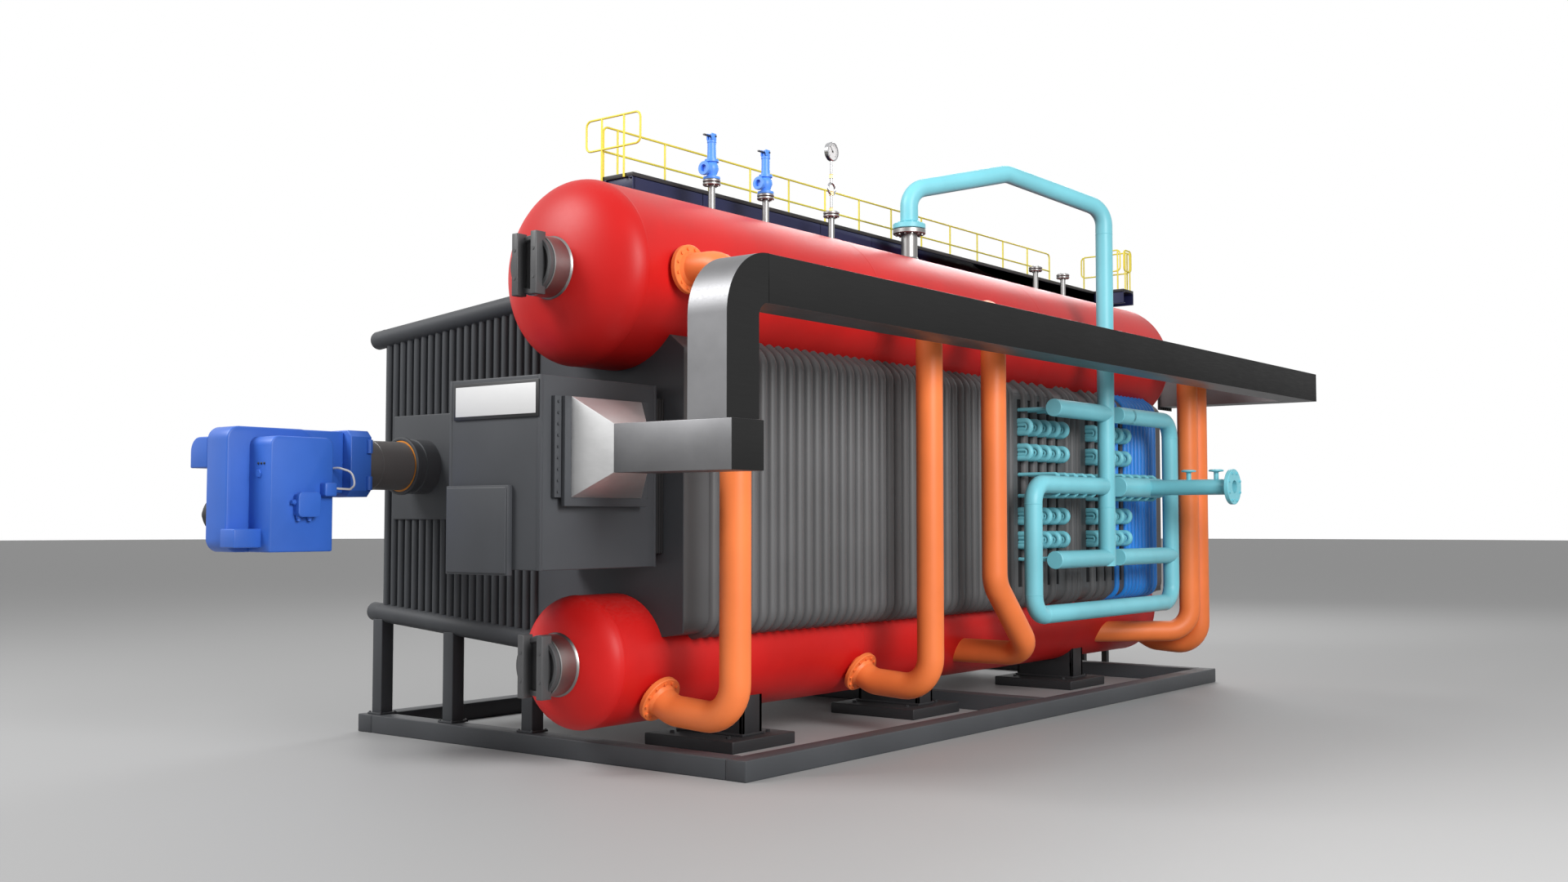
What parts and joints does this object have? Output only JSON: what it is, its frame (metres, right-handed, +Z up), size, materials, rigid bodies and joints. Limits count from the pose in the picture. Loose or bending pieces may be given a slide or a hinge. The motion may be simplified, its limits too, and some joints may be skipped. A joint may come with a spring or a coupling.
{
  "type": "water-tube boiler",
  "caption": "D-type water-tube boiler on a skid, with two drums, tube walls, burner, superheater, downcomers, gas duct and top platform",
  "frame": {"origin": "on the ground, at the middle of the underside of the skid's cross beam", "axes": "+X to the superheater and duct side, +Y along the drums to the rear, +Z up"},
  "size_m": [6.005, 14.752, 6.4276],
  "materials": {
    "slate": "satin slate grey paint",
    "rear_blue": "satin blue paint",
    "drum_red": "gloss red paint",
    "steel": "turned steel",
    "saddle_black": "matt black paint",
    "platform_navy": "satin navy paint",
    "burner_blue": "satin blue paint",
    "valve_blue": "satin light blue paint",
    "duct_sheet": "dull sheet steel",
    "downcomer_orange": "satin orange paint",
    "steam_cyan": "satin pale cyan paint",
    "gauge_chrome": "polished chrome",
    "rail_yellow": "satin yellow paint"
  },
  "bodies": {
    "root": {"base_long_beams": "slate", "base_cross_beams": "slate", "furnace_posts": "slate", "lower_headers": "slate", "upper_headers": "slate", "front_tube_wall": "slate", "rear_tube_wall": "slate", "furnace_tube_wall": "slate", "bank_front_casing": "slate", "bank_rear_casing": "slate", "bank_tube_wall": "slate", "gas_box": "slate", "access_door": "slate", "burner_plate": "slate", "burner_throat": "slate", "bank_rear_tubes": "rear_blue", "steam_drum_shell": "drum_red", "steam_drum_heads": "drum_red", "mud_drum_shell": "drum_red", "mud_drum_heads": "drum_red", "manway_necks": "steel", "manway_covers": "steel", "drum_nozzles": "steel", "blast_tube": "steel", "saddle_plates": "saddle_black", "drum_saddles": "saddle_black", "window_plates": "saddle_black", "gas_box_joint": "saddle_black", "platform_deck": "saddle_black", "platform_posts": "saddle_black", "platform_beams": "platform_navy", "burner_head": "burner_blue", "burner_housing": "burner_blue", "burner_hood": "burner_blue", "burner_control_box": "burner_blue", "safety_valves": "valve_blue", "duct_flange": "duct_sheet", "duct_transition": "duct_sheet", "duct_riser": "duct_sheet", "duct_run": "duct_sheet", "duct_branch": "duct_sheet", "downcomer_1": "downcomer_orange", "downcomer_2": "downcomer_orange", "downcomer_3": "downcomer_orange", "downcomer_4": "downcomer_orange", "downcomer_5": "downcomer_orange", "main_steam_pipe": "steam_cyan", "superheater_inlet_header": "steam_cyan", "superheater_crossover": "steam_cyan", "superheater_outlet": "steam_cyan", "superheater_bends": "steam_cyan", "superheater_tubes": "steam_cyan", "pressure_gauge": "gauge_chrome", "handrail_side": "rail_yellow", "handrail_gates": "rail_yellow", "access_ladder": "rail_yellow"}
  },
  "joints": []
}
